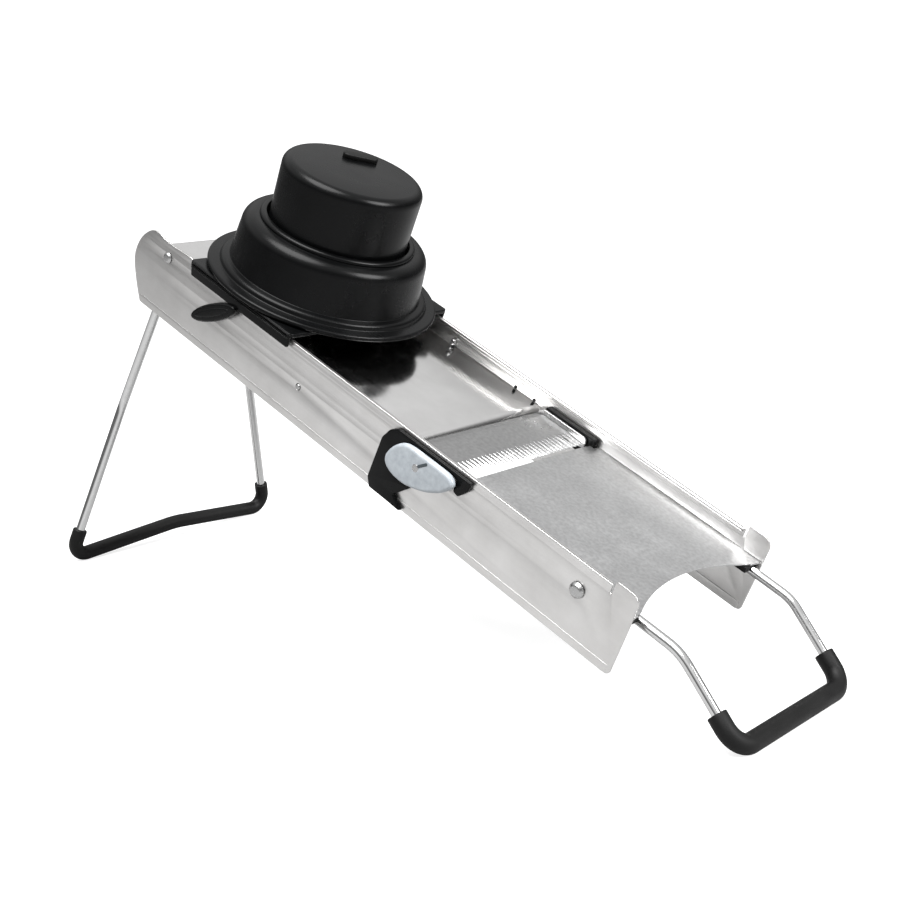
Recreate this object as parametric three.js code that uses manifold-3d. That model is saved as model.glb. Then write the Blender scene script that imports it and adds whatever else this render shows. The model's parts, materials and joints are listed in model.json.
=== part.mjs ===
// Mandoline slicer with a sliding food guard, a folding wire leg and a folding wire handle.
//
// Everything is drawn flat first, in the slicer's own directions and in millimetres:
//   x runs along the deck, from the raised rear end (0) to the low front end (400);
//   y runs across the deck, with the side that carries the knobs at -y;
//   z rises from the deck's top surface, which is z = 0.
// The whole slicer is then tilted about y, so that the leg's foot and the handle's grip
// both stand on the table, and moved so that the table is z = 0 under its middle.

import * as THREE from 'three';
import { mergeVertices } from 'three/addons/utils/BufferGeometryUtils.js';
import Module from 'manifold-3d';

const wasm = await Module();
wasm.setup();

// ---------------------------------------------------------------- driving dimensions

const GAP = 0.3; // clearance kept between neighbouring pieces

// Sheet metal body
const BODY_LENGTH = 400;
const PANEL_OUTSIDE = 64.7; // half the width over the side panels
const PANEL_SHEET = 1.2;
const PANEL_INSIDE = PANEL_OUTSIDE - PANEL_SHEET;
const PANEL_BOTTOM = -34.2;
const RAIL_TOP = 11.4;
const RAIL_START = 40;
const RAIL_END = 381;
const RAIL_DEPTH = 2.5; // section of the rolled rail on top of each panel
const RAIL_WIDTH = 2.4;
const HEM_START = 12; // folded hem along the bottom of each panel
const HEM_DEPTH = 5;
const HEM_SHEET = 0.9;
const DECK_SHEET = 0.9;
const DECK_HALF_WIDTH = PANEL_INSIDE - GAP;

// Feed plate, which tilts to set the thickness of a slice
const FEED_REAR = -10;
const FEED_FRONT = 231.3;
const FEED_HALF_WIDTH = 62.7;
const FEED_HINGE = { x: 17, z: 4.8 };
const FEED_STOP = { x: 152, z: 2.6 };

// Thickness control: a lever knob turns two cams under the feed plate
const SHAFT = { x: 67.5, z: -7.5 };
const SHAFT_RADIUS = 2.7;
const BUSH_RADIUS = 4.6; // low enough for the feed plate to tilt above it
const LEVER = { forward: 3.4, up: 3.7, halfLength: 20.6, halfWidth: 5.5, angle: 33.8 * Math.PI / 180 };
const CAM_HIGH = 6.2;
const CAM_LOW = 4.98;
const CAM_TURN = 70 * Math.PI / 180;

// Double-edged blade, which turns over about an axis across the deck
const BLADE_AXIS = { x: 251.75, z: -0.5 };
const BLADE_HALF_LENGTH = 19.25;
const BLADE_HALF_WIDTH = 57;
const BLADE_SHEET = 1;
const TOOTH_COUNT = 34;
const TOOTH_DEPTH = 2.2;
const SPINDLE_RADIUS = 3;

// Run-out deck
const DECK_REAR = 272.2;
const DECK_FRONT = 399;
const DECK_NOTCH = { radius: 119, depth: 14, halfWidth: 51 };

// Rear leg and front handle, both bent from round wire
const LEG_WIRE = 3;
const LEG_SLEEVE = 4.75;
const LEG_PIVOT = { x: 12, z: -14 };
const LEG_KNEE = { x: -4, y: 55, z: -115 };
const LEG_FOOT = { x: 15, y: 87, z: -221.6 };
const FOOT_ARCH = 7; // how far the middle of the foot rises off the table
const HANDLE_WIRE = 2.7;
const HANDLE_GRIP = 5.4;
const HANDLE_PIVOT = { x: 365.5, z: -4.2 };
const HANDLE_BEND = { x: 425.5, y: 57.7, z: -5.5 };
const GRIP_CORNER = { x: 473.6, y: 54.35, z: -28 };
const SOLE_FLAT = 0.3; // depth of the flat worn on the underside of foot and grip

// Food guard and its pusher, centred over GUARD_X
const GUARD_X = 87.5;
const BASE_LENGTH = 95;
const BASE_HALF_WIDTH = 68;
const BASE_TOP = 16.1;
const BASE_SHEET = 2.8;
const SKIRT_BOTTOM = 10.4;
const CHAMBER_RADIUS = 44.9;
const BRIM_RADIUS = 73.8;
const HOUSING_TOP = 54;
const PUSHER_RADIUS = 43;
const PUSHER_TOP = 93;
const PUSHER_BOTTOM = 49.6;
const PIN_PLATE_TOP = PUSHER_BOTTOM - GAP;
const PIN_PLATE_BOTTOM = PIN_PLATE_TOP - 3;
const PIN_LENGTH = 6;
const PIN_COUNT = 8;
const PIN_CIRCLE = 24; // radius of the ring of pins

// ---------------------------------------------------------------- materials

function finish(colour, roughness, metalness) {
  return new THREE.MeshStandardMaterial({ color: colour, roughness, metalness });
}

const brushedSteel = finish(0xc6c4c0, 0.38, 0.9);
const polishedSteel = finish(0xd8d8d8, 0.2, 1);
const bladeSteel = finish(0xa8a8a8, 0.28, 1);
const blackPlastic = finish(0x1c1c1e, 0.42, 0);
const blackRubber = finish(0x232324, 0.75, 0);
const paleBluePlastic = finish(0xc6ced6, 0.4, 0);
const nylon = finish(0xd9d7d0, 0.6, 0);

// ---------------------------------------------------------------- solids

function toSolid(geometry) {
  const bare = geometry.index ? geometry.toNonIndexed() : geometry.clone();
  bare.deleteAttribute('normal');
  bare.deleteAttribute('uv');
  const merged = mergeVertices(bare, 1e-4);
  return new wasm.Manifold(new wasm.Mesh({
    numProp: 3,
    vertProperties: new Float32Array(merged.attributes.position.array),
    triVerts: new Uint32Array(merged.index.array),
  }));
}

function toGeometry(solid) {
  const mesh = solid.getMesh();
  const geometry = new THREE.BufferGeometry();
  geometry.setAttribute('position', new THREE.BufferAttribute(mesh.vertProperties, 3));
  geometry.setIndex(new THREE.BufferAttribute(mesh.triVerts, 1));
  geometry.computeVertexNormals();
  return geometry;
}

function join(...geometries) {
  return toGeometry(geometries.map(toSolid).reduce((whole, piece) => whole.add(piece)));
}

function cut(geometry, ...tools) {
  return toGeometry(tools.map(toSolid).reduce((rest, tool) => rest.subtract(tool), toSolid(geometry)));
}

function overlap(first, second) {
  return toGeometry(toSolid(first).intersect(toSolid(second)));
}

// ---------------------------------------------------------------- shapes

/** A closed outline from [u, v] corners. */
function outline(corners) {
  return new THREE.Shape(corners.map(([u, v]) => new THREE.Vector2(u, v)));
}

/** An outline drawn in x and z, drawn out across the slicer from y = from to y = to. */
function across(shape, from, to, options = {}) {
  const geometry = new THREE.ExtrudeGeometry(shape, { depth: to - from, bevelEnabled: false, ...options });
  return geometry.rotateX(Math.PI / 2).translate(0, to, 0);
}

/** An outline drawn in x and y, drawn upwards from z = from to z = to. */
function upwards(shape, from, to, options = {}) {
  const geometry = new THREE.ExtrudeGeometry(shape, { depth: to - from, bevelEnabled: false, ...options });
  return geometry.translate(0, 0, from);
}

function block(x0, x1, y0, y1, z0, z1) {
  const geometry = new THREE.BoxGeometry(x1 - x0, y1 - y0, z1 - z0);
  return geometry.translate((x0 + x1) / 2, (y0 + y1) / 2, (z0 + z1) / 2);
}

/** A round bar across the slicer, about the axis through (centre.x, centre.z). */
function barAcross(radius, from, to, centre, sides = 20) {
  const geometry = new THREE.CylinderGeometry(radius, radius, to - from, sides);
  return geometry.translate(centre.x, (from + to) / 2, centre.z);
}

/** A turned piece about z; the profile holds [radius, height] points, outside face upwards. */
function turned(profile, sides = 40) {
  const points = profile.map(([radius, height]) => new THREE.Vector2(radius, height));
  return new THREE.LatheGeometry(points, sides).rotateX(Math.PI / 2);
}

/** A turned piece about an axis across the slicer; the profile holds [radius, y] points. */
function turnedAcross(profile, centre, sides = 20) {
  const points = profile.map(([radius, y]) => new THREE.Vector2(radius, y));
  return new THREE.LatheGeometry(points, sides).translate(centre.x, 0, centre.z);
}

/** The mirror image of a piece on the other side of the slicer. */
function mirrored(geometry) {
  const copy = geometry.index ? geometry.toNonIndexed() : geometry.clone();
  const position = copy.attributes.position;
  for (let i = 0; i < position.count; i += 3) {
    const corners = [0, 2, 1].map((k) => new THREE.Vector3().fromBufferAttribute(position, i + k));
    corners.forEach((corner, k) => position.setXYZ(i + k, corner.x, -corner.y, corner.z));
  }
  copy.computeVertexNormals();
  return copy;
}

/** A round-ended bar outline of the given half length, between end radii, along an angle. */
function stadium(centre, halfSpan, radius, angle) {
  const shape = new THREE.Shape();
  const along = new THREE.Vector2(Math.cos(angle), Math.sin(angle)).multiplyScalar(halfSpan);
  const quarter = Math.PI / 2;
  shape.absarc(centre.x + along.x, centre.z + along.y, radius, angle - quarter, angle + quarter, false);
  shape.absarc(centre.x - along.x, centre.z - along.y, radius, angle + quarter, angle + 3 * quarter, false);
  return shape;
}

// ---------------------------------------------------------------- bent wire

/** A path through a list of points, with one extrusion step from each point to the next. */
class WirePath extends THREE.Curve {
  constructor(points) {
    super();
    this.points = points;
  }

  getPoint(t) {
    const place = t * (this.points.length - 1);
    const before = Math.min(Math.floor(place), this.points.length - 2);
    return this.points[before].clone().lerp(this.points[before + 1], place - before);
  }

  getPointAt(t) {
    return this.getPoint(t);
  }

  getTangentAt(t) {
    const here = Math.round(t * (this.points.length - 1));
    const last = this.points.length - 1;
    const arriving = this.points[Math.max(here, 1)].clone().sub(this.points[Math.max(here, 1) - 1]);
    const leaving = this.points[Math.min(here + 1, last)].clone().sub(this.points[Math.min(here, last - 1)]);
    return arriving.normalize().add(leaving.normalize()).normalize();
  }
}

/** Replaces each inner corner of a path by an arc; each corner is [x, y, z, bend radius]. */
function bend(corners) {
  const at = corners.map(([x, y, z]) => new THREE.Vector3(x, y, z));
  const points = [at[0]];
  for (let i = 1; i < at.length - 1; i += 1) {
    const radius = corners[i][3];
    const back = at[i - 1].clone().sub(at[i]).normalize();
    const on = at[i + 1].clone().sub(at[i]).normalize();
    const half = back.angleTo(on) / 2;
    const turn = Math.PI - 2 * half;
    const centre = at[i].clone().addScaledVector(back.clone().add(on).normalize(), radius / Math.sin(half));
    const start = at[i].clone().addScaledVector(back, radius / Math.tan(half)).sub(centre);
    const end = at[i].clone().addScaledVector(on, radius / Math.tan(half)).sub(centre);
    const axis = start.clone().cross(end).normalize();
    const steps = Math.max(2, Math.ceil(turn / (Math.PI / 9)));
    for (let step = 0; step <= steps; step += 1) {
      points.push(start.clone().applyAxisAngle(axis, turn * step / steps).add(centre));
    }
  }
  points.push(at.at(-1));
  return points;
}

/** Completes a path that stops at the slicer's middle plane with its mirror image. */
function bothSides(half) {
  const otherHalf = half.map(([x, y, z, radius]) => [x, -y, z, radius]).reverse();
  const middleShared = half.at(-1)[1] === 0 ? 1 : 0;
  return [...half, ...otherHalf.slice(middleShared)];
}

/** A round wire along a path, or a sleeve where a hole radius is given. */
function wire(points, radius, holeRadius = 0, sides = 12) {
  const section = new THREE.Shape();
  section.absarc(0, 0, radius, 0, 2 * Math.PI, false);
  if (holeRadius > 0) {
    section.holes.push(new THREE.Path().absarc(0, 0, holeRadius, 0, 2 * Math.PI, true));
  }
  return new THREE.ExtrudeGeometry(section, {
    steps: points.length - 1,
    extrudePath: new WirePath(points),
    curveSegments: sides / 2,
  });
}

/** The point that lies a distance back from one corner towards another. */
function pointTowards(corner, target, distance) {
  const from = new THREE.Vector3(corner.x, corner.y, corner.z);
  const to = new THREE.Vector3(target.x, target.y, target.z);
  const point = from.addScaledVector(to.sub(from).normalize(), distance);
  return [point.x, point.y, point.z, 0];
}

const legPath = bend(bothSides([
  [LEG_PIVOT.x, -62.9, LEG_PIVOT.z, 0],
  [LEG_PIVOT.x, -56, LEG_PIVOT.z, 4],
  [LEG_KNEE.x, -LEG_KNEE.y, LEG_KNEE.z, 30],
  [LEG_FOOT.x, -LEG_FOOT.y, LEG_FOOT.z, 9],
  [LEG_FOOT.x, 0, LEG_FOOT.z + FOOT_ARCH, 60],
]));
const footCorner = { ...LEG_FOOT, y: -LEG_FOOT.y };
const footPath = bend(bothSides([
  pointTowards(footCorner, { ...LEG_KNEE, y: -LEG_KNEE.y }, 21),
  [LEG_FOOT.x, -LEG_FOOT.y, LEG_FOOT.z, 9],
  [LEG_FOOT.x, 0, LEG_FOOT.z + FOOT_ARCH, 60],
]));
const handlePath = bend(bothSides([
  [HANDLE_PIVOT.x, -65.9, HANDLE_PIVOT.z, 0],
  [HANDLE_PIVOT.x, -HANDLE_BEND.y, HANDLE_PIVOT.z, 4],
  [HANDLE_BEND.x, -HANDLE_BEND.y, HANDLE_BEND.z, 22],
  [GRIP_CORNER.x, -GRIP_CORNER.y, GRIP_CORNER.z, 12],
]));
const gripCorner = { ...GRIP_CORNER, y: -GRIP_CORNER.y };
const gripPath = bend(bothSides([
  pointTowards(gripCorner, { ...HANDLE_BEND, y: -HANDLE_BEND.y }, 20),
  [GRIP_CORNER.x, -GRIP_CORNER.y, GRIP_CORNER.z, 12],
]));

// ---------------------------------------------------------------- how the slicer stands

/** Height of a point above the slicer's origin once the slicer is tilted. */
function height(point, tilt) {
  return point.z * Math.cos(tilt) - point.x * Math.sin(tilt);
}

function lowest(points, tilt) {
  return points.reduce((low, point) => (height(point, tilt) < height(low, tilt) ? point : low));
}

/** The tilt at which the undersides of the foot and the grip are level with each other. */
function restingTilt() {
  let tilt = 0;
  for (let round = 0; round < 12; round += 1) {
    const foot = lowest(footPath, tilt);
    const grip = lowest(gripPath, tilt);
    const reach = Math.hypot(grip.x - foot.x, foot.z - grip.z);
    tilt = Math.asin((LEG_SLEEVE - HANDLE_GRIP) / reach) - Math.atan2(foot.z - grip.z, grip.x - foot.x);
  }
  return tilt;
}

const TILT = restingTilt();
const TABLE = height(lowest(gripPath, TILT), TILT) - HANDLE_GRIP + SOLE_FLAT;

/** Cuts off whatever reaches below the table. */
function flattenedSole(geometry) {
  const below = new THREE.BoxGeometry(1000, 300, 60).translate(0, 0, TABLE - 30).rotateY(-TILT);
  return cut(geometry, below);
}

// ---------------------------------------------------------------- side panels and deck

function panelOutline() {
  const shape = new THREE.Shape();
  shape.moveTo(0, PANEL_BOTTOM);
  shape.splineThru([[-5, -23], [-10.5, -11], [-11, -1], [-7.5, 8.5], [1, 14.5]]
    .map(([x, z]) => new THREE.Vector2(x, z)));
  shape.lineTo(37, 15.6);
  shape.lineTo(RAIL_START, RAIL_TOP);
  shape.lineTo(RAIL_END, RAIL_TOP);
  shape.lineTo(384, 14.4);
  shape.lineTo(394, 14.4);
  shape.quadraticCurveTo(400, 14, BODY_LENGTH, 7);
  shape.lineTo(BODY_LENGTH, PANEL_BOTTOM + 3);
  shape.quadraticCurveTo(BODY_LENGTH, PANEL_BOTTOM, BODY_LENGTH - 3, PANEL_BOTTOM);
  shape.closePath();
  return shape;
}

/** A side panel for the -y side: sheet, rolled rail on top and hem along the bottom. */
function sidePanel(holes) {
  const inner = -PANEL_INSIDE;
  const sheet = across(panelOutline(), -PANEL_OUTSIDE, inner, { curveSegments: 4 });
  const rail = block(RAIL_START + 1, RAIL_END - 1, -PANEL_OUTSIDE, -PANEL_OUTSIDE + RAIL_WIDTH,
    RAIL_TOP - RAIL_DEPTH, RAIL_TOP);
  const hem = block(HEM_START, BODY_LENGTH - 4, inner - 0.2, inner + HEM_SHEET, PANEL_BOTTOM,
    PANEL_BOTTOM + HEM_DEPTH);
  const drills = holes.map(({ at, radius }) => barAcross(radius, -70, -60, at, 16));
  return cut(join(sheet, rail, hem), ...drills);
}

const TIE = { x: 148.3, z: -11.4 };
const sharedHoles = [
  { at: FEED_HINGE, radius: 2.4 },
  { at: TIE, radius: 2.1 },
  { at: HANDLE_PIVOT, radius: 3.3 },
];
const nearHoles = [
  ...sharedHoles,
  { at: SHAFT, radius: 3.5 },
  { at: BLADE_AXIS, radius: 3.5 },
];
const farHoles = [
  ...sharedHoles,
  { at: { x: 211, z: 3.4 }, radius: 1.2 },
  { at: { x: 221, z: 2.6 }, radius: 1.2 },
];

function runoutDeck() {
  const { radius, depth, halfWidth } = DECK_NOTCH;
  const centre = DECK_FRONT - depth + radius;
  const spread = Math.asin(halfWidth / radius);
  const cornerRear = 276.8; // the corners stop short of the blade's bearings
  const shape = new THREE.Shape();
  shape.moveTo(DECK_REAR, -59);
  shape.lineTo(cornerRear, -59);
  shape.lineTo(cornerRear, -DECK_HALF_WIDTH);
  shape.lineTo(DECK_FRONT, -DECK_HALF_WIDTH);
  shape.absarc(centre, 0, radius, Math.PI + spread, Math.PI - spread, true);
  shape.lineTo(DECK_FRONT, DECK_HALF_WIDTH);
  shape.lineTo(cornerRear, DECK_HALF_WIDTH);
  shape.lineTo(cornerRear, 59);
  shape.lineTo(DECK_REAR, 59);
  shape.closePath();
  const lip = block(DECK_REAR, DECK_REAR + DECK_SHEET, -56, 56, -4, -0.1);
  const flanges = [-1, 1].map((side) => block(282, 354, ...[side * DECK_HALF_WIDTH,
    side * (DECK_HALF_WIDTH - DECK_SHEET)].sort((a, b) => a - b), -9, -0.1));
  return join(upwards(shape, -DECK_SHEET, 0, { curveSegments: 16 }), lip, ...flanges);
}

function legStopRod() {
  return barAcross(3, -PANEL_INSIDE + GAP, PANEL_INSIDE - GAP, { x: 3.2, z: -28 }, 16);
}

/** Tie bar between the panels; its riveted ends show as small dots outside. */
function crossTie() {
  const end = PANEL_OUTSIDE + 0.4;
  const shoulder = PANEL_INSIDE - GAP;
  return turnedAcross([[0, -end], [1.7, -end], [1.7, -shoulder], [3, -shoulder], [3, shoulder],
    [1.7, shoulder], [1.7, end], [0, end]], TIE, 16);
}

/** Hinge rivet of the feed plate, for the -y side. */
function feedHingePin() {
  return turnedAcross([[0, -66.2], [2.6, -66.2], [3.5, -65.4], [3.5, -65], [2, -65], [2, -60.2],
    [0, -60.2]], FEED_HINGE, 16);
}

function feedPlateStop() {
  return turnedAcross([[0, -63.2], [2.1, -63.2], [2.1, -61.6], [1.2, -60.8], [0, -60.8]], FEED_STOP, 14);
}

// ---------------------------------------------------------------- feed plate

function feedPlate() {
  const plate = block(FEED_REAR, FEED_FRONT, -FEED_HALF_WIDTH, FEED_HALF_WIDTH, -1, 0);
  const frontLip = block(FEED_FRONT - 1.2, FEED_FRONT, -60, 60, -4.6, -0.5);
  const rearLip = block(FEED_REAR, FEED_REAR + 1, -60, 60, -6, -0.5);
  const sides = [-1, 1].flatMap((side) => {
    const edges = [side * FEED_HALF_WIDTH, side * (FEED_HALF_WIDTH - 1)].sort((a, b) => a - b);
    const ear = block(8, 27, ...edges, -0.5, 9);
    const flange = block(94, 225, ...edges, -3.6, -0.5);
    return [ear, flange];
  });
  const hinge = barAcross(2.35, -70, 70, FEED_HINGE, 16);
  return cut(join(plate, frontLip, rearLip, ...sides), hinge);
}

// ---------------------------------------------------------------- thickness control

/** Radius of a cam at an angle from straight up, counted towards the rear. */
function camRadius(angle) {
  if (angle <= CAM_TURN) {
    return CAM_HIGH + (CAM_LOW - CAM_HIGH) * angle / CAM_TURN;
  }
  const back = (angle - CAM_TURN) / (2 * Math.PI - CAM_TURN);
  return CAM_LOW + (CAM_HIGH - CAM_LOW) * (1 - Math.cos(Math.PI * back)) / 2;
}

function cam(from, to) {
  const steps = 36;
  const corners = Array.from({ length: steps }, (_, i) => {
    const angle = 2 * Math.PI * i / steps;
    const radius = camRadius(angle);
    return [SHAFT.x - radius * Math.sin(angle), SHAFT.z + radius * Math.cos(angle)];
  });
  const bore = barAcross(SHAFT_RADIUS + GAP, from - 1, to + 1, SHAFT, 16);
  return cut(across(outline(corners), from, to), bore);
}

function thicknessShaft() {
  return barAcross(SHAFT_RADIUS, -69.4, 62.9, SHAFT, 16);
}

/** Bearing block that carries the thickness shaft inside a panel. */
function shaftBush(from, to) {
  const body = across(stadium(SHAFT, 5, BUSH_RADIUS, 0), from, to, { curveSegments: 5 });
  return cut(body, barAcross(SHAFT_RADIUS + 0.5, from - 1, to + 1, SHAFT, 16));
}

/** Ring on the shaft, inside the far bearing block, that keeps the shaft in place. */
function shaftClip() {
  return turnedAcross([[3, 57.6], [4.9, 57.6], [4.9, 58.8], [3, 58.8], [3, 57.6]], SHAFT, 16);
}

/** Oval lever on the near end of the shaft. */
function thicknessKnob() {
  const round = 0.6;
  const shape = new THREE.Shape();
  shape.absellipse(SHAFT.x + LEVER.forward, SHAFT.z + LEVER.up, LEVER.halfLength - round,
    LEVER.halfWidth - round, 0, 2 * Math.PI, false, LEVER.angle);
  const lever = across(shape, -70.2, -65.8, {
    bevelEnabled: true, bevelThickness: 0.8, bevelSize: round, bevelSegments: 1, curveSegments: 16,
  });
  return cut(lever, barAcross(SHAFT_RADIUS + GAP, -69.8, -60, SHAFT, 16));
}

// ---------------------------------------------------------------- blade

/** Blade sheet: straight bevelled edge to the rear, serrated edge to the front. */
function blade() {
  const rear = BLADE_AXIS.x - BLADE_HALF_LENGTH;
  const front = BLADE_AXIS.x + BLADE_HALF_LENGTH;
  const section = outline([[rear, -BLADE_SHEET], [front - 4, -BLADE_SHEET], [front, -0.35], [front, 0],
    [rear + 4, 0], [rear, -0.65]]);
  const pitch = 2 * BLADE_HALF_WIDTH / TOOTH_COUNT;
  const plan = [[rear - 1, -BLADE_HALF_WIDTH]];
  for (let tooth = 0; tooth < TOOTH_COUNT; tooth += 1) {
    const side = -BLADE_HALF_WIDTH + tooth * pitch;
    plan.push([front - TOOTH_DEPTH, side], [front, side + pitch / 2]);
  }
  plan.push([front - TOOTH_DEPTH, BLADE_HALF_WIDTH], [rear - 1, BLADE_HALF_WIDTH]);
  const strip = across(section, -BLADE_HALF_WIDTH - 1, BLADE_HALF_WIDTH + 1);
  return overlap(strip, upwards(outline(plan), -2, 1));
}

/** Cheek that holds one end of the blade, with its spindle out to spindleEnd, for -y. */
function bladeCheek(spindleEnd) {
  const cheek = across(stadium(BLADE_AXIS, 10.5, 3.8, 0), -59.2, -57.3, { curveSegments: 5 });
  const spindle = barAcross(SPINDLE_RADIUS, spindleEnd, -58, BLADE_AXIS, 16);
  return join(cheek, spindle);
}

/** Moulded bearing inside a panel, for -y; the far one is its mirror image. */
function bladeBearing() {
  const body = block(235, 276, -63.2, -59.5, -8.5, 6);
  return cut(body, barAcross(SPINDLE_RADIUS + 0.5, -66, -57, BLADE_AXIS, 16));
}

/** C-shaped moulding around the blade knob, on the outside of the near panel. */
function bladeHousing() {
  const shape = outline([[229, 9.6], [223.5, 6], [219.6, -1], [218.2, -28], [221.5, -33.4],
    [246.5, -33.4], [239, -27.5], [248.2, -17], [240.2, -9], [240.2, 1.5], [244.5, 6],
    [275.4, 6], [276, -1.2], [279.5, -2.2], [284.2, 3.4], [285.6, 9.6]]);
  return across(shape, -67.7, -65);
}

/** Teardrop knob that turns the blade over. */
function bladeKnob() {
  const shape = new THREE.Shape();
  shape.moveTo(270, 7.6);
  shape.lineTo(245, 7.8);
  shape.bezierCurveTo(236, 7.8, 229.6, -2, 229.9, -7.5);
  shape.bezierCurveTo(230.5, -12, 236, -13.6, 242, -13.4);
  shape.bezierCurveTo(254, -13, 267, -8, 273, -2.4);
  shape.bezierCurveTo(279, 3.2, 278, 7.6, 270, 7.6);
  const grip = across(shape, -72.2, -69.2, {
    bevelEnabled: true, bevelThickness: 0.9, bevelSize: 0.9, bevelSegments: 2, curveSegments: 6,
  });
  const hub = barAcross(5.4, -69.5, -65.1, BLADE_AXIS, 20);
  const spindleHole = barAcross(SPINDLE_RADIUS + GAP, -70.3, -60, BLADE_AXIS, 16);
  const screwHole = barAcross(2.9, -80, -71.5, BLADE_AXIS, 16);
  const screwShank = barAcross(1.6, -73, -69, BLADE_AXIS, 12);
  return cut(join(grip, hub), spindleHole, screwHole, screwShank);
}

function bladeKnobScrew() {
  return turnedAcross([[0, -73], [1.8, -73], [2.5, -72.5], [1.2, -71.6], [1.2, -70.6], [0, -70.6]],
    BLADE_AXIS, 14);
}

// ---------------------------------------------------------------- leg and handle

/** Block inside a panel that the end of the leg's wire turns in, for -y. */
function legHingeBlock() {
  const shape = stadium({ x: LEG_PIVOT.x, z: -13 }, 3, 6, Math.PI / 2);
  const body = across(shape, -63.2, -60.3, { curveSegments: 5 });
  return cut(body, barAcross(LEG_WIRE + 0.5, -66, -57, LEG_PIVOT, 16));
}

/** Domed cap pressed onto the end of the handle's wire, outside the panel, for -y. */
function handleCap() {
  return turnedAcross([[0, -67.4], [2.6, -67.2], [4.5, -66], [4.5, -65], [3.1, -65], [3.1, -66.3],
    [0, -66.3]], HANDLE_PIVOT, 16);
}

/** Pad under a front corner of the deck, with a groove that the handle's wire rests in. */
function handleStopPad() {
  const pad = block(388, 398, -62.9, -49.5, -4.6, -1.2);
  const groove = wire(handlePath.slice(3, 9), HANDLE_WIRE + 0.35);
  const mouth = block(387, 399, -HANDLE_BEND.y - 3, -HANDLE_BEND.y + 3, -9, -4.9);
  return cut(pad, groove, mouth);
}

// ---------------------------------------------------------------- food guard

function guardBase() {
  const half = BASE_LENGTH / 2;
  const side = BASE_HALF_WIDTH;
  const corner = 3;
  const plan = new THREE.Shape();
  plan.absarc(half - corner, side - corner, corner, 0, Math.PI / 2, false);
  plan.absarc(-half + corner, side - corner, corner, Math.PI / 2, Math.PI, false);
  plan.absarc(-half + corner, -side + corner, corner, Math.PI, 1.5 * Math.PI, false);
  plan.absarc(half - corner, -side + corner, corner, 1.5 * Math.PI, 2 * Math.PI, false);
  const underside = BASE_TOP - BASE_SHEET;
  const disc = turned([[0, underside], [60, underside], [60, BASE_TOP], [0, BASE_TOP]]);
  const plate = upwards(plan, underside, BASE_TOP, { curveSegments: 3 });
  const edges = [-1, 1].flatMap((hand) => {
    const skirt = [hand * side, hand * (side - 2)].sort((a, b) => a - b);
    const runner = [hand * 62, hand * 60].sort((a, b) => a - b);
    return [
      block(-half + corner, half - 1, ...skirt, SKIRT_BOTTOM, BASE_TOP - 1),
      block(-half + 4, half - 4, ...runner, 7.2, BASE_TOP - 1),
    ];
  });
  const well = turned([[0, 0], [CHAMBER_RADIUS + 2.4, 0], [CHAMBER_RADIUS + 2.4, 30], [0, 30]]);
  return cut(join(plate, disc, ...edges), well);
}

/** Low-friction strip between the base and a rail. */
function guardGlide() {
  const reach = BASE_LENGTH / 2 - 8;
  return block(-reach, reach, -PANEL_OUTSIDE + 0.2, -PANEL_OUTSIDE + 2.2, RAIL_TOP + GAP, 13);
}

/** Stepped housing: brim, tapering wall, flat shoulder and the round food chamber inside. */
function guardHousing() {
  const bottom = BASE_TOP + GAP + 0.3;
  const chamberOutside = CHAMBER_RADIUS + 2;
  const profile = [
    [BRIM_RADIUS - 0.5, bottom], [BRIM_RADIUS, 17.6], [BRIM_RADIUS, 19.4], [BRIM_RADIUS - 1.1, 20.4],
    [67.5, 20.8], [65.6, 22], [64.8, 24.5], [57.4, 50], [56.2, 52.8], [53.4, HOUSING_TOP],
    [CHAMBER_RADIUS, HOUSING_TOP], [CHAMBER_RADIUS, bottom], [chamberOutside, bottom],
    [chamberOutside, HOUSING_TOP - 2.4], [53.8, HOUSING_TOP - 2.4], [62, 24], [62, bottom],
    [BRIM_RADIUS - 0.5, bottom],
  ];
  return turned(profile, 36);
}

function guardCollar() {
  return turned([[44.8, HOUSING_TOP + GAP], [48.2, HOUSING_TOP + GAP], [47.2, 56.4], [44.8, 56.4],
    [44.8, HOUSING_TOP + GAP]], 36);
}

function pusherCap() {
  const skin = 2.6;
  const inside = PUSHER_RADIUS - skin;
  const ceiling = PUSHER_TOP - 3;
  const profile = [
    [0, 60], [1.6, 60], [1.6, PUSHER_BOTTOM], [6, PUSHER_BOTTOM], [6, ceiling], [inside - 2, ceiling],
    [inside, ceiling - 2], [inside, PUSHER_BOTTOM], [PUSHER_RADIUS, PUSHER_BOTTOM],
    [PUSHER_RADIUS, PUSHER_TOP - 4], [PUSHER_RADIUS - 1.2, PUSHER_TOP - 1.2],
    [PUSHER_RADIUS - 4, PUSHER_TOP], [0, PUSHER_TOP],
  ];
  return turned(profile, 36);
}

function pinPlace(index) {
  const angle = 2 * Math.PI * index / PIN_COUNT;
  return new THREE.Vector3(PIN_CIRCLE * Math.cos(angle), PIN_CIRCLE * Math.sin(angle), 0);
}

/** Disc under the pusher that carries the food pins. */
function pinPlate() {
  const [low, high] = [PIN_PLATE_BOTTOM, PIN_PLATE_TOP];
  const disc = turned([[0, low], [PUSHER_RADIUS, low], [PUSHER_RADIUS, high], [0, high]]);
  const bore = (radius) => turned([[0, 0], [radius, 0], [radius, 70], [0, 70]], 12);
  const pinHoles = Array.from({ length: PIN_COUNT }, (_, i) => bore(1.5).translate(...pinPlace(i).toArray()));
  return cut(disc, bore(1.8), ...pinHoles);
}

/** Pointed pin that holds the food. */
function foodPin() {
  const tip = PIN_PLATE_BOTTOM - PIN_LENGTH;
  const end = PIN_PLATE_BOTTOM + 2.6;
  return turned([[0, tip], [1.2, tip + 4], [1.2, end], [0, end]], 10);
}

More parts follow.
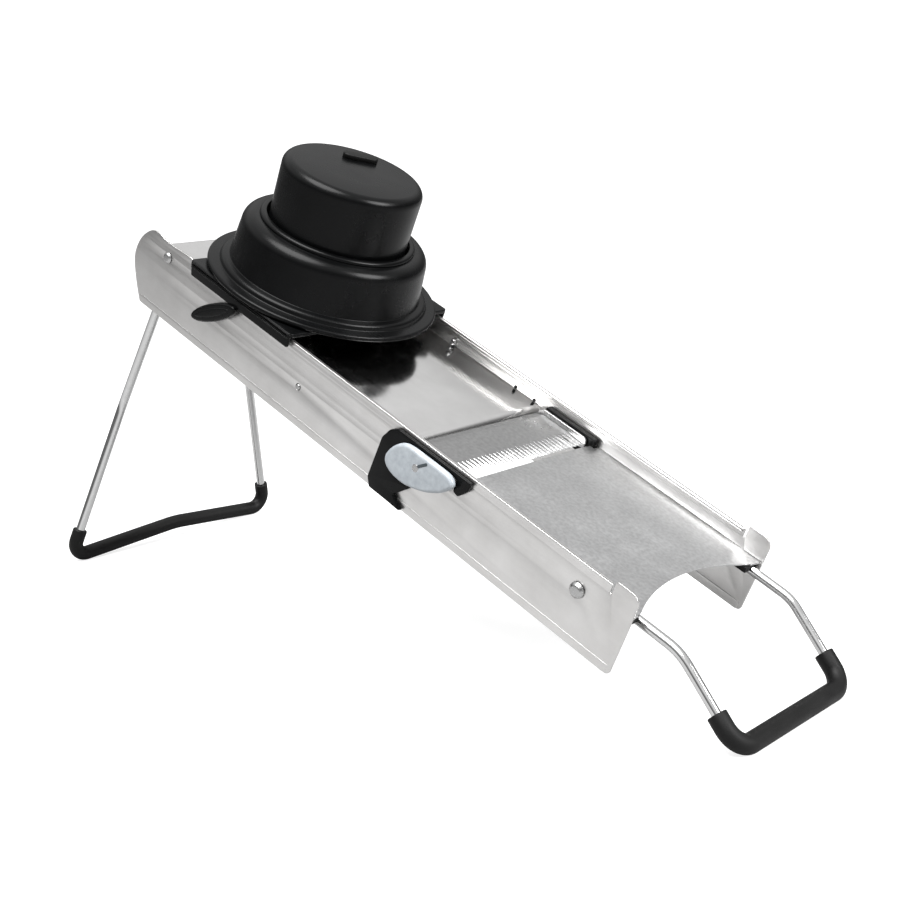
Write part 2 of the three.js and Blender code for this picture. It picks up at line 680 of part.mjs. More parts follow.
function pusherScrew() {
  const under = PIN_PLATE_BOTTOM - GAP;
  return turned([[0, under - 1.8], [2.4, under - 1.8], [3.2, under - 1], [3.2, under], [1.3, under],
    [1.3, 58], [0, 58]], 14);
}

function pusherSeal() {
  return turned([[43.4, 46.9], [44.4, 46.9], [44.4, 48.7], [43.4, 48.7], [43.4, 46.9]], 36);
}

/** Small raised tab on top of the pusher. */
function pusherTab() {
  const shape = stadium({ x: -13, z: 16 }, 7.6, 3.2, Math.atan2(19, 11.5));
  return upwards(shape, PUSHER_TOP + GAP, PUSHER_TOP + 1.6, { curveSegments: 4 });
}

// ---------------------------------------------------------------- assembly

const slicer = new THREE.Group();
const frame = new THREE.Group();
const feed = new THREE.Group();
const thickness = new THREE.Group();
const bladeRotor = new THREE.Group();
const rearLeg = new THREE.Group();
const frontHandle = new THREE.Group();
const guard = new THREE.Group();
const pusher = new THREE.Group();
slicer.add(frame, feed, thickness, bladeRotor, rearLeg, frontHandle, guard, pusher);

function place(group, name, geometry, material) {
  const mesh = new THREE.Mesh(geometry, material);
  mesh.name = name;
  group.add(mesh);
}

/** A piece made for the -y side, and its mirror image on the +y side. */
function placePair(group, name, geometry, material) {
  place(group, `${name}_near`, geometry, material);
  place(group, `${name}_far`, mirrored(geometry), material);
}

place(frame, 'side_panel_near', sidePanel(nearHoles), brushedSteel);
place(frame, 'side_panel_far', mirrored(sidePanel(farHoles)), brushedSteel);
place(frame, 'runout_deck', runoutDeck(), brushedSteel);
place(frame, 'leg_stop_rod', legStopRod(), polishedSteel);
place(frame, 'cross_tie', crossTie(), polishedSteel);
placePair(frame, 'feed_hinge_pin', feedHingePin(), polishedSteel);
placePair(frame, 'feed_plate_stop', feedPlateStop(), polishedSteel);
placePair(frame, 'leg_hinge_block', legHingeBlock(), blackPlastic);
placePair(frame, 'handle_stop_pad', handleStopPad(), blackRubber);
placePair(frame, 'shaft_bush', shaftBush(-63.2, -60), blackPlastic);
placePair(frame, 'blade_bearing', bladeBearing(), blackPlastic);
place(frame, 'blade_housing', bladeHousing(), blackPlastic);

place(feed, 'feed_plate', feedPlate(), brushedSteel);

place(thickness, 'thickness_shaft', thicknessShaft(), polishedSteel);
place(thickness, 'thickness_knob', thicknessKnob(), blackPlastic);
placePair(thickness, 'thickness_cam', cam(-50, -44), nylon);
place(thickness, 'shaft_clip', shaftClip(), polishedSteel);

place(bladeRotor, 'blade', blade(), bladeSteel);
place(bladeRotor, 'blade_cheek_near', bladeCheek(-70), polishedSteel);
place(bladeRotor, 'blade_cheek_far', mirrored(bladeCheek(-63)), polishedSteel);
place(bladeRotor, 'blade_knob', bladeKnob(), paleBluePlastic);
place(bladeRotor, 'blade_knob_screw', bladeKnobScrew(), polishedSteel);

place(rearLeg, 'leg_wire', wire(legPath, LEG_WIRE), polishedSteel);
place(rearLeg, 'leg_sleeve', flattenedSole(wire(footPath, LEG_SLEEVE, LEG_WIRE + 0.4)), blackRubber);

place(frontHandle, 'handle_wire', wire(handlePath, HANDLE_WIRE), polishedSteel);
place(frontHandle, 'handle_grip', flattenedSole(wire(gripPath, HANDLE_GRIP, HANDLE_WIRE + 0.4)), blackRubber);
placePair(frontHandle, 'handle_cap', handleCap(), polishedSteel);

guard.position.x = GUARD_X;
place(guard, 'guard_base', guardBase(), blackPlastic);
placePair(guard, 'guard_glide', guardGlide(), nylon);
place(guard, 'guard_housing', guardHousing(), blackPlastic);
place(guard, 'guard_collar', guardCollar(), blackPlastic);

pusher.position.x = GUARD_X;
place(pusher, 'pusher_cap', pusherCap(), blackPlastic);
place(pusher, 'pin_plate', pinPlate(), blackPlastic);
for (let i = 0; i < PIN_COUNT; i += 1) {
  place(pusher, `food_pin_${i + 1}`, foodPin().translate(...pinPlace(i).toArray()), polishedSteel);
}
place(pusher, 'pusher_screw', pusherScrew(), polishedSteel);
place(pusher, 'pusher_seal', pusherSeal(), blackRubber);
place(pusher, 'pusher_tab', pusherTab(), blackPlastic);

// Stand the slicer on the table, with the middle of its footprint at the origin.
slicer.rotation.y = TILT;
slicer.updateMatrixWorld(true);
const bounds = new THREE.Box3().setFromObject(slicer, true);
const middle = bounds.getCenter(new THREE.Vector3());
slicer.position.set(-middle.x, -middle.y, -bounds.min.z);

export default slicer;
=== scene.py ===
"""Looks of a mandoline slicer: brushed sheet steel, bent round wire, black mouldings.

Every piece is drawn flat, in millimetres, in the slicer's own directions: x runs along the deck
from the raised rear end, y across it (the side with the knobs is -y), and z rises from the deck's
top surface. TO_ROW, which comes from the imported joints, tilts and places what is drawn.
"""
import json
import math

import bmesh
import bpy
from mathutils import Matrix, Vector
from mathutils.geometry import tessellate_polygon


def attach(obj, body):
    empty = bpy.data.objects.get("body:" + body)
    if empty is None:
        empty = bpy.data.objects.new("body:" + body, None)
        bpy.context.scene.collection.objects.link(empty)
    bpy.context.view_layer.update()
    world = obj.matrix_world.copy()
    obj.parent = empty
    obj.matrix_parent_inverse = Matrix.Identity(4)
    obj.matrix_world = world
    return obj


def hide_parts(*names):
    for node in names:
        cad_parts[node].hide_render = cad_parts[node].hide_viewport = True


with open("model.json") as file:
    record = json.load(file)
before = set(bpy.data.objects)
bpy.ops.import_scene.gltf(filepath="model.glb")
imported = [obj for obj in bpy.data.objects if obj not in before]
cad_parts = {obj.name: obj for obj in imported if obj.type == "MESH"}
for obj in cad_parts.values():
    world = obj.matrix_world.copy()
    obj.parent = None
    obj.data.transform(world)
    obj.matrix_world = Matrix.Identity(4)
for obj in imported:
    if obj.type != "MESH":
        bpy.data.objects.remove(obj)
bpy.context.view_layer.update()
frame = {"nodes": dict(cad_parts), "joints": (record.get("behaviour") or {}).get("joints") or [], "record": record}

# ---------------------------------------------------------------- the frame, drawn flat

JOINTS = {joint["name"]: joint for joint in frame["joints"]}
BODY_OF = {node: body for body, nodes in frame["record"]["behaviour"]["bodies"].items() for node in nodes}

FEED_HINGE = Vector((17, 0, 4.8))  # where the feed plate's hinge is, drawn flat
SLIDE = Vector(JOINTS["guard_slide"]["axis"])
TILT = math.atan2(-SLIDE.z, SLIDE.x)
TO_ROW = (
    Matrix.Translation(JOINTS["feed_plate_tilt"]["pos_m"])
    @ Matrix.Rotation(TILT, 4, "Y")
    @ Matrix.Scale(0.001, 4)
    @ Matrix.Translation(-FEED_HINGE)
)
TO_FLAT = TO_ROW.inverted()


def flat(joint):
    """Where a hinge's axis is, drawn flat."""
    return TO_FLAT @ Vector(JOINTS[joint]["pos_m"])


def flat_box(node):
    """Lowest and highest corner of a CAD node, drawn flat."""
    corners = [TO_FLAT @ vertex.co for vertex in frame["nodes"][node].data.vertices]
    low = Vector(min(corner[i] for corner in corners) for i in range(3))
    high = Vector(max(corner[i] for corner in corners) for i in range(3))
    return low, high


LEG_PIVOT = flat("leg_fold")
HANDLE_PIVOT = flat("handle_fold")
BLADE_AXIS = flat("blade_turn")
SHAFT = flat("thickness_turn")
PANEL_LOW, PANEL_HIGH = flat_box("side_panel_near")
PANEL_OUTSIDE = -PANEL_LOW.y
PANEL_SHEET = 1.2
PANEL_INSIDE = PANEL_OUTSIDE - PANEL_SHEET
BODY_LENGTH = PANEL_HIGH.x
PANEL_BOTTOM = PANEL_LOW.z
RAIL_TOP = 11.4
TIE_BAR = (148.3, -11.4)  # where the tie bar's axis is, in x and z
SLIT = 383.9  # front side of the slit that sets the front ear apart from the rail
GUARD_X = sum(corner.x for corner in flat_box("guard_collar")) / 2
NEAR_WIRE, FAR_WIRE = -52.3, 57.9  # how far across the two sides of the handle's wire are
OUTER_START = -65.0  # y of what is mounted outside the near panel, 0.3 mm clear of it
BLOCK_BACK = -63.2  # y of what is mounted inside the near panel, 0.3 mm clear of it

# ---------------------------------------------------------------- outlines and paths


def rounded(corners, closed=True, arc_step=math.radians(10)):
    """Points through corners; the last number of each corner is the radius of its arc."""
    points = []
    for i, corner in enumerate(corners):
        here, radius = Vector(corner[:-1]), corner[-1]
        if radius == 0 or (not closed and i in (0, len(corners) - 1)):
            points.append(here)
            continue
        back = (Vector(corners[i - 1][:-1]) - here).normalized()
        onward = (Vector(corners[(i + 1) % len(corners)][:-1]) - here).normalized()
        half = back.angle(onward) / 2
        turn = math.pi - 2 * half
        centre = here + (back + onward).normalized() * radius / math.sin(half)
        start = here + back * radius / math.tan(half) - centre
        end = here + onward * radius / math.tan(half) - centre
        side = (end - start * math.cos(turn)) / math.sin(turn)
        steps = max(2, math.ceil(turn / arc_step))
        for k in range(steps + 1):
            angle = turn * k / steps
            points.append(centre + start * math.cos(angle) + side * math.sin(angle))
    return points


def through(points, closed=False, steps=5):
    """A smooth curve through points; an open curve starts and ends at the first and last."""
    at = [Vector(point) for point in points]
    before = at[-1:] if closed else [at[0] * 2 - at[1]]
    after = at[:2] if closed else [at[-1] * 2 - at[-2]]
    at = before + at + after
    curve = []
    for a, b, c, d in zip(at, at[1:], at[2:], at[3:]):
        for k in range(steps):
            t = k / steps
            bend = (a * 2 - b * 5 + c * 4 - d) * t**2
            twist = (b * 3 - a - c * 3 + d) * t**3
            curve.append((b * 2 + (c - a) * t + bend + twist) / 2)
    return curve if closed else curve + [at[-2]]


def circle(centre, radius, sides=40):
    """A round outline."""
    turns = [2 * math.pi * i / sides for i in range(sides)]
    return [Vector((centre[0] + radius * math.cos(a), centre[1] + radius * math.sin(a))) for a in turns]


def bar(start, bottom, end, top, radius):
    """The outline of a straight bar with rounded corners."""
    return rounded([(start, bottom, radius), (end, bottom, radius), (end, top, radius), (start, top, radius)])


def stadium(centre, half_span, radius, angle=0.0, steps=18):
    """The outline of a bar with round ends."""
    points = []
    for end in (0, 1):
        facing = angle + end * math.pi
        middle = Vector(centre) + Vector((math.cos(facing), math.sin(facing))) * half_span
        for k in range(steps + 1):
            a = facing - math.pi / 2 + math.pi * k / steps
            points.append(middle + Vector((math.cos(a), math.sin(a))) * radius)
    return points


def oval(centre, half_length, half_width, angle, sides=72):
    """The outline of an ellipse whose long axis lies along an angle."""
    points = []
    for k in range(sides):
        a = 2 * math.pi * k / sides
        along, aside = half_length * math.cos(a), half_width * math.sin(a)
        points.append(Vector((
            centre[0] + along * math.cos(angle) - aside * math.sin(angle),
            centre[1] + along * math.sin(angle) + aside * math.cos(angle),
        )))
    return points


def area(loop):
    """Signed area of an outline: positive when it runs anticlockwise."""
    return sum(a.x * b.y - b.x * a.y for a, b in zip(loop, loop[1:] + loop[:1])) / 2


def inset(loop, distance):
    """An outline moved to its left by distance, point by point."""
    moved = []
    for i, here in enumerate(loop):
        before = (here - loop[i - 1]).normalized()
        after = (loop[(i + 1) % len(loop)] - here).normalized()
        left = Vector((-before.y - after.y, before.x + after.x))
        if left.length < 1e-6:
            left = Vector((-after.y, after.x))
        left.normalize()
        reach = max(0.4, left.dot(Vector((-after.y, after.x))))
        moved.append(here + left * distance / reach)
    return moved


def thick(path, thickness):
    """The outline of a bent sheet that has path as its middle line."""
    sides = []
    for hand in (1, -1):
        side = []
        for i, here in enumerate(path):
            before = (here - path[i - 1]).normalized() if i else (path[1] - here).normalized()
            after = (path[i + 1] - here).normalized() if i < len(path) - 1 else before
            normal = Vector((-before.y - after.y, before.x + after.x)).normalized()
            reach = max(0.4, normal.dot(Vector((-after.y, after.x))))
            side.append(here + normal * hand * thickness / 2 / reach)
        sides.append(side)
    return sides[0] + sides[1][::-1]


# ---------------------------------------------------------------- meshes

SHARP_ANGLE = math.radians(32)  # faces that meet at more than this show an edge


def made(bm):
    """A mesh from a bmesh, shaded smooth except over its sharp edges."""
    bmesh.ops.remove_doubles(bm, verts=bm.verts, dist=1e-4)
    bmesh.ops.recalc_face_normals(bm, faces=bm.faces)
    mesh = bpy.data.meshes.new("mesh")
    bm.to_mesh(mesh)
    bm.free()
    mesh.polygons.foreach_set("use_smooth", [True] * len(mesh.polygons))
    mesh.set_sharp_from_angle(angle=SHARP_ANGLE)
    return mesh


def combined(*meshes):
    """Several meshes as one."""
    bm = bmesh.new()
    for mesh in meshes:
        bm.from_mesh(mesh)
        bpy.data.meshes.remove(mesh)
    mesh = bpy.data.meshes.new("mesh")
    bm.to_mesh(mesh)
    bm.free()
    return mesh


def mirrored(mesh):
    """The mirror image of a mesh, on the other side of the slicer."""
    copy = mesh.copy()
    copy.transform(Matrix.Scale(-1, 4, Vector((0, 1, 0))))
    copy.flip_normals()
    return copy


def plate(outline, low, high, edge=0.2, across=True, holes=(), edge_steps=3):
    """A flat piece with softened edges, from an outline.

    Across the slicer the outline is drawn in x and z, and low and high are y. Otherwise it is
    drawn in x and y, and low and high are z.
    """
    loops = [outline if area(outline) > 0 else outline[::-1]]
    loops += [hole if area(hole) < 0 else hole[::-1] for hole in holes]
    turns = [math.pi / 2 * k / edge_steps for k in range(edge_steps + 1)]
    rim = [(edge * (1 - math.sin(a)), edge * (1 - math.cos(a))) for a in turns]
    layers = [(shrink, low + rise) for shrink, rise in rim]
    layers += [(shrink, high - rise) for shrink, rise in reversed(rim)]
    bm = bmesh.new()

    def vertex(point, level):
        return bm.verts.new((point.x, level, point.y) if across else (point.x, point.y, level))

    caps = {0: [], len(layers) - 1: []}
    for loop in loops:
        rings = [[vertex(p, level) for p in inset(loop, shrink)] for shrink, level in layers]
        for lower, upper in zip(rings, rings[1:]):
            for i in range(len(loop)):
                j = (i + 1) % len(loop)
                bm.faces.new((lower[i], lower[j], upper[j], upper[i]))
        for level, cap in caps.items():
            cap.append((rings[level], inset(loop, layers[level][0])))
    for cap in caps.values():
        vertices = [v for ring, _ in cap for v in ring]
        flat_loops = [[Vector((p.x, p.y, 0)) for p in loop] for _, loop in cap]
        for triangle in tessellate_polygon(flat_loops):
            bm.faces.new([vertices[i] for i in triangle])
    return made(bm)


def turned(profile, centre=(0, 0), across=False, sides=72):
    """A turned piece. The profile holds (radius, height) points and closes on itself or the axis.

    It turns about an upright axis at (x, y), or about an axis across the slicer at (x, z).
    """
    bm = bmesh.new()
    closed = (profile[0] - profile[-1]).length < 1e-6
    points = profile[:-1] if closed else profile
    rings = []
    for point in points:
        ring = []
        for i in range(1 if point.x < 1e-6 else sides):
            a = 2 * math.pi * i / sides
            u, v = centre[0] + point.x * math.cos(a), centre[1] + point.x * math.sin(a)
            ring.append(bm.verts.new((u, point.y, v) if across else (u, v, point.y)))
        rings.append(ring)
    pairs = list(zip(rings, rings[1:]))
    if closed:
        pairs.append((rings[-1], rings[0]))
    for low, high in pairs:
        for i in range(sides):
            j = (i + 1) % sides
            quad = [low[i % len(low)], low[j % len(low)], high[j % len(high)], high[i % len(high)]]
            corners = list(dict.fromkeys(quad))
            if len(corners) > 2:
                bm.faces.new(corners)
    return made(bm)


def turned_profile(corners, closed=False):
    """The profile of a turned piece from (radius, height, fillet) corners."""
    points = rounded(corners, closed=closed)
    return points + points[:1] if closed else points


def swept(path, radius, lip, hole=0.0, sides=32):
    """A round bar along a path, or a sleeve where it has a hole, with its ends rounded by lip."""
    tangents = []
    for i in range(len(path)):
        before = (path[i] - path[i - 1]).normalized() if i else Vector()
        after = (path[i + 1] - path[i]).normalized() if i < len(path) - 1 else Vector()
        tangents.append((before + after).normalized())
    across = tangents[0].orthogonal().normalized()
    frames = []
    for tangent in tangents:
        across = (across - tangent * across.dot(tangent)).normalized()
        frames.append((across.copy(), tangent.cross(across)))
    lip_steps = 5
    turns = [math.pi / 2 * k / lip_steps for k in range(lip_steps + 1)]
    ends = [(lip * (1 - math.cos(a)), radius - lip * (1 - math.sin(a))) for a in turns]
    stations = [(0, path[0] + tangents[0] * move, r) for move, r in ends]
    stations += [(i, path[i], radius) for i in range(1, len(path) - 1)]
    last = len(path) - 1
    stations += [(last, path[last] - tangents[last] * move, r) for move, r in reversed(ends)]
    if hole:
        stations += [(i, path[i], hole) for i in range(last, -1, -1)]
    bm = bmesh.new()
    rings = []
    for i, place, r in stations:
        u, v = frames[i]
        turn = [2 * math.pi * k / sides for k in range(sides)]
        rings.append([bm.verts.new(place + (u * math.cos(a) + v * math.sin(a)) * r) for a in turn])
    pairs = list(zip(rings, rings[1:]))
    if hole:
        pairs.append((rings[-1], rings[0]))
    for low, high in pairs:
        for k in range(sides):
            j = (k + 1) % sides
            bm.faces.new((low[k], low[j], high[j], high[k]))
    if not hole:
        bm.faces.new(rings[0])
        bm.faces.new(rings[-1])
    return made(bm)


def add(name, mesh, material, replaced=(), beside=None):
    """Adds a piece that stands for the replaced CAD nodes, or one that rides beside a node."""
    mesh.transform(TO_ROW)
    mesh.materials.clear()
    mesh.materials.append(material)
    piece = bpy.data.objects.new(name, mesh)
    bpy.context.scene.collection.objects.link(piece)
    node = beside or replaced[0]
    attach(piece, BODY_OF[node])
    if replaced:
        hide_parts(*replaced)
    return piece


def add_pair(name, mesh, material, node):
    """A piece for the near side and its mirror image, for the CAD nodes node_near and node_far."""
    other = mirrored(mesh)
    add(f"{name}_near", mesh, material, [f"{node}_near"])
    add(f"{name}_far", other, material, [f"{node}_far"])


# ---------------------------------------------------------------- materials


def fill_ramp(ramp, stops):
    """Sets the (position, colour) stops of a colour ramp."""
    elements = ramp.color_ramp.elements
    while len(elements) < len(stops):
        elements.new(0.5)
    for element, (position, colour) in zip(elements, stops):
        element.position = position
        element.color = (*colour, 1)


def map_range(nodes, start, end, low, high):
    """A node that turns values from start to end into values from low to high."""
    node = nodes.new("ShaderNodeMapRange")
    node.inputs["From Min"].default_value = start
    node.inputs["From Max"].default_value = end
    node.inputs["To Min"].default_value = low
    node.inputs["To Max"].default_value = high
    return node


class Finish:
    """A material and the few node arrangements that the finishes share."""

    def __init__(self, name, **sockets):
        self.material = bpy.data.materials.new(name)
        self.material.use_nodes = True
        self.nodes = self.material.node_tree.nodes
        self.links = self.material.node_tree.links
        self.shader = self.nodes["Principled BSDF"]
        for socket, value in sockets.items():
            self.shader.inputs[socket.replace("_", " ").title().replace("Ior", "IOR")].default_value = value

    def grain(self, scale, detail=4.0, roughness=0.6):
        """Noise whose scale, in grains per metre, is given along, across and up the slicer."""
        place = self.nodes.new("ShaderNodeTexCoord")
        turn = self.nodes.new("ShaderNodeMapping")
        turn.inputs["Rotation"].default_value = (0, -TILT, 0)
        stretch = self.nodes.new("ShaderNodeMapping")
        stretch.inputs["Scale"].default_value = scale
        noise = self.nodes.new("ShaderNodeTexNoise")
        noise.inputs["Scale"].default_value = 1.0
        noise.inputs["Detail"].default_value = detail
        noise.inputs["Roughness"].default_value = roughness
        self.links.new(place.outputs["Object"], turn.inputs["Vector"])
        self.links.new(turn.outputs["Vector"], stretch.inputs["Vector"])
        self.links.new(stretch.outputs["Vector"], noise.inputs["Vector"])
        return noise.outputs["Fac"]

    def spread(self, value, low, high, start=0.3, end=0.7):
        """A grain value spread over a range of numbers."""
        node = map_range(self.nodes, start, end, low, high)
        self.links.new(value, node.inputs["Value"])
        return node.outputs["Result"]

    def distance(self, near, far):
        """How far a place is from the middle of the piece: 0 up to near metres, 1 from far metres on."""
        place = self.nodes.new("ShaderNodeTexCoord")
        length = self.nodes.new("ShaderNodeVectorMath")
        length.operation = "LENGTH"
        self.links.new(place.outputs["Object"], length.inputs[0])
        return self.spread(length.outputs["Value"], 0, 1, near, far)

    def colours(self, value, stops):
        """Base colour from a grain value, through (position, colour) stops."""
        ramp = self.nodes.new("ShaderNodeValToRGB")
        fill_ramp(ramp, stops)
        self.links.new(value, ramp.inputs["Fac"])
        self.links.new(ramp.outputs["Color"], self.shader.inputs["Base Color"])

    def rough(self, value):
        """Roughness from a value."""
        self.links.new(value, self.shader.inputs["Roughness"])

    def bump(self, value, depth):
        """A relief of the given depth, in metres; several reliefs add up."""
        node = self.nodes.new("ShaderNodeBump")
        node.inputs["Strength"].default_value = 1.0
        node.inputs["Distance"].default_value = depth
        self.links.new(value, node.inputs["Height"])
        normal = self.shader.inputs["Normal"]
        if normal.is_linked:
            self.links.new(normal.links[0].from_socket, node.inputs["Normal"])
        self.links.new(node.outputs["Normal"], normal)


def grey(value, warmth=0.0):
    """A grey, with a little more red and less blue where warmth is above 0."""
    return (value * (1 + warmth), value, value * (1 - warmth))


def sheet_steel(name, light, dark, low, high, relief):
    """Stainless sheet: long fine brush marks, faint blotches and a slightly wavy surface."""
    finish = Finish(name, metallic=1.0)
    blotches = finish.grain((30, 30, 30), detail=5)
    marks = finish.grain((25, 900, 900), detail=3)
    fine = finish.grain((120, 3000, 3000), detail=2)
    waves = finish.grain((14, 22, 22), detail=1)
    finish.colours(blotches, [(0.3, dark), (0.7, light)])
    finish.rough(finish.spread(marks, low, high))
    finish.bump(waves, relief)
    finish.bump(marks, 0.000012)
    finish.bump(fine, 0.000008)
    return finish.material


def mottled_steel(name, light, dark, low, high):
    """Stainless sheet rolled with a fine pebbled pattern."""
    finish = Finish(name, metallic=1.0)
    pebbles = finish.grain((420, 420, 420), detail=2)
    blotches = finish.grain((60, 60, 60), detail=4)
    finish.colours(pebbles, [(0.35, dark), (0.65, light)])
    finish.rough(finish.spread(blotches, low, high))
    finish.bump(pebbles, 0.00003)
    return finish.material


def bright_steel(name, shade, roughness):
    """Polished wire or pins, with faint drawing marks."""
    finish = Finish(name, metallic=1.0, roughness=roughness)
    marks = finish.grain((300, 300, 300), detail=3)
    finish.colours(marks, [(0.3, grey(shade * 0.92)), (0.7, grey(shade))])
    finish.rough(finish.spread(marks, roughness * 0.7, roughness * 1.3))
    finish.bump(finish.grain((900, 900, 900)), 0.000004)
    return finish.material


def moulded(name, dark, light, low, high, grain_depth, specular=0.5, patches=45):
    """A satin moulding with a fine spark-eroded texture and slightly uneven gloss."""
    finish = Finish(name, specular_ior_level=specular)
    cloud = finish.grain((patches, patches, patches), detail=5)
    texture = finish.grain((2600, 2600, 2600), detail=2)
    finish.colours(cloud, [(0.3, dark), (0.7, light)])
    finish.rough(finish.spread(cloud, low, high))
    finish.bump(texture, grain_depth)
    return finish.material


PANEL_STEEL = sheet_steel("panel_steel", grey(0.68, 0.01), grey(0.57, 0.014), 0.28, 0.4, 0.00003)
FEED_STEEL = sheet_steel("feed_steel", grey(0.72, 0.005), grey(0.64, 0.008), 0.11, 0.18, 0.0005)
DECK_STEEL = mottled_steel("deck_steel", grey(0.54, -0.004), grey(0.44, -0.002), 0.3, 0.42)
BLADE_STEEL = mottled_steel("blade_steel", grey(0.38), grey(0.31), 0.26, 0.36)
GROUND_STEEL = bright_steel("ground_steel", 0.58, 0.08)
WIRE_STEEL = bright_steel("wire_steel", 0.62, 0.09)
PIN_STEEL = bright_steel("pin_steel", 0.44, 0.28)
BLACK_PLASTIC = moulded("black_plastic", grey(0.0015, -0.06), grey(0.003, -0.06), 0.22, 0.3, 0.000012, 0.13)
BLACK_RUBBER = moulded("black_rubber", grey(0.002), grey(0.005), 0.42, 0.6, 0.00006, 0.18)
PALE_PLASTIC = moulded("pale_plastic", (0.27, 0.295, 0.32), (0.37, 0.4, 0.425), 0.28, 0.4, 0.00002,
                       patches=260)
POINTER_PLASTIC = moulded("pointer_plastic", (0.03, 0.04, 0.045), (0.06, 0.07, 0.08), 0.35, 0.5, 0.00002)
NYLON = moulded("nylon", grey(0.5, 0.03), grey(0.56, 0.02), 0.45, 0.6, 0.00002)

# ---------------------------------------------------------------- side panels and decks


def side_panel(holes, rail_edge):
    """A side panel for the near side: sheet with ears, rolled rail on top, hem at the bottom."""
    rear = through([
        (0, PANEL_BOTTOM + 0.4), (-6.4, -24), (-12.4, -12), (-13.3, -3.5), (-10.2, 6), (-3.4, 13.6),
        (3.6, 15.6), (13, 14.3), (24, 14.4), (37, 15.2),
    ])
    slit_rear, slit_foot, ear_top = SLIT - 1.3, 6.5, 14.4
    front = rounded([
        (37, 15.2, 0), (39.5, 14.6, 1), (40.5, RAIL_TOP, 1), (slit_rear, RAIL_TOP, 0.3),
        (slit_rear, slit_foot, 0.4), (SLIT, slit_foot, 0.4), (SLIT, ear_top, 1.5), (BODY_LENGTH, ear_top, 6),
        (BODY_LENGTH, PANEL_BOTTOM, 3), (0.8, PANEL_BOTTOM, 0),
    ], closed=False)
    outline = rear[:-1] + front
    drilled = [circle(at, radius, 32) for at, radius in holes]
    sheet = plate(outline, -PANEL_OUTSIDE, -PANEL_INSIDE, 0.25, holes=drilled)
    rail_out, rail_in = -PANEL_OUTSIDE - 0.05, -PANEL_OUTSIDE + 2.4
    rail = plate(bar(41, 8.8, 381.5, RAIL_TOP, 1), rail_out, rail_in, rail_edge, edge_steps=6)
    hem_low, hem_high = PANEL_BOTTOM + 0.02, PANEL_BOTTOM + 5
    end = BODY_LENGTH - 2.5
    hem_outline = rounded([(1.5, hem_low, 0.5), (end, hem_low, 2), (end, hem_high, 1), (-1.2, hem_high, 1)])
    hem_out = plate(hem_outline, -PANEL_OUTSIDE - 0.08, -PANEL_OUTSIDE + 0.4, 0.07)
    hem_in = plate(bar(12, hem_low, end, hem_high, 1), -PANEL_INSIDE - 0.1, -PANEL_INSIDE + 0.45, 0.15)
    return combined(sheet, rail, hem_out, hem_in)


def add_panels():
    """Both side panels, with the holes that pins, shafts and wires pass through."""
    shared = [(FEED_HINGE.xz, 2.4), (TIE_BAR, 2.1), (HANDLE_PIVOT.xz, 3.3)]
    near = [(SHAFT.xz, 3.5), (BLADE_AXIS.xz, 3.5)]
    add("panel_near", side_panel(shared + near, 0.5), PANEL_STEEL, ["side_panel_near"])
    add("panel_far", mirrored(side_panel(shared, 1.1)), PANEL_STEEL, ["side_panel_far"])


def add_hole_shade_discs():
    """Two small dark discs on the inside of the far panel, behind the blade: painted shade standing for the dark
    seen in two small holes.
    """
    radius, foot, face = 1.2, PANEL_INSIDE + 0.1, PANEL_INSIDE - 0.3
    head = turned_profile([(0, foot, 0), (radius, foot, 0), (radius, face, 0.2), (0, face, 0)])
    # painted shade: dark discs put where the far panel shows two dark holes
    shade_discs = [turned(head, place, across=True, sides=24) for place in ((207, 1.2), (223, 1.2))]
    add("hole_shade_discs_far", combined(*shade_discs), BLACK_PLASTIC, beside="side_panel_far")


def add_runout_deck():
    """The lower deck, with its concave front edge, rear lip and side flanges."""
    low, high = flat_box("runout_deck")
    half, sheet = high.y, 0.9
    notch_radius, notch_half, notch_depth, notch_steps = 119, 51, 14, 36
    notch_centre = high.x - notch_depth + notch_radius
    spread = math.asin(notch_half / notch_radius)
    arc = [math.pi + spread - 2 * spread * k / notch_steps for k in range(notch_steps + 1)]
    notch = [Vector((notch_centre + notch_radius * math.cos(a), notch_radius * math.sin(a))) for a in arc]
    shoulder, tongue_half, tongue_end = 276.8, 59, low.x + 1.2
    rear = rounded([
        (high.x, half, 2), (shoulder, half, 0.5), (shoulder, tongue_half, 0.5),
        (tongue_end, tongue_half, 0.4), (tongue_end, -tongue_half, 0.4), (shoulder, -tongue_half, 0.5),
        (shoulder, -half, 0.5), (high.x, -half, 2),
    ])
    top = plate(notch + rear, -sheet, 0, 0.1, across=False)
    lip = plate(thick(rounded([(low.x + 3, -sheet / 2, 0), (low.x + sheet / 2, -sheet / 2, 0.5),
                               (low.x + sheet / 2, -4, 0)], closed=False), sheet * 0.96), -56, 56, 0.15)
    flange = plate(bar(282, -9, 354, -0.4, 1), -half, -half + sheet, 0.2)
    add("deck_runout", combined(top, lip, mirrored(flange), flange), DECK_STEEL, ["runout_deck"])


def add_feed_plate():
    """The upper plate: rolled front edge, turned-down rear edge, and ears for its hinge."""
    low, high = flat_box("feed_plate")
    half, sheet = high.y, 1.0
    section = rounded([
        (low.x + 0.5, -6, 0), (low.x + 0.5, -0.5, 2.2), (high.x - 1, -0.5, 5), (high.x - 1, -5.7, 0),
    ], closed=False)
    top = plate(thick(section, sheet), -half, half, 0.2)
    ear = plate(rounded([(8, -0.6, 0.5), (27, -0.6, 0.5), (25, 9, 4), (9, 9, 4)]), -half, -half + 1, 0.2,
                holes=[circle(FEED_HINGE.xz, 2.35, 24)])
    flange = plate(rounded([(94, -3.6, 1), (225, -3.6, 1), (225, -0.6, 0.3), (94, -0.6, 0.3)]),
                   -half, -half + 1, 0.2)
    pieces = [top, mirrored(ear), ear, mirrored(flange), flange]
    add("plate_feed", combined(*pieces), FEED_STEEL, ["feed_plate"])


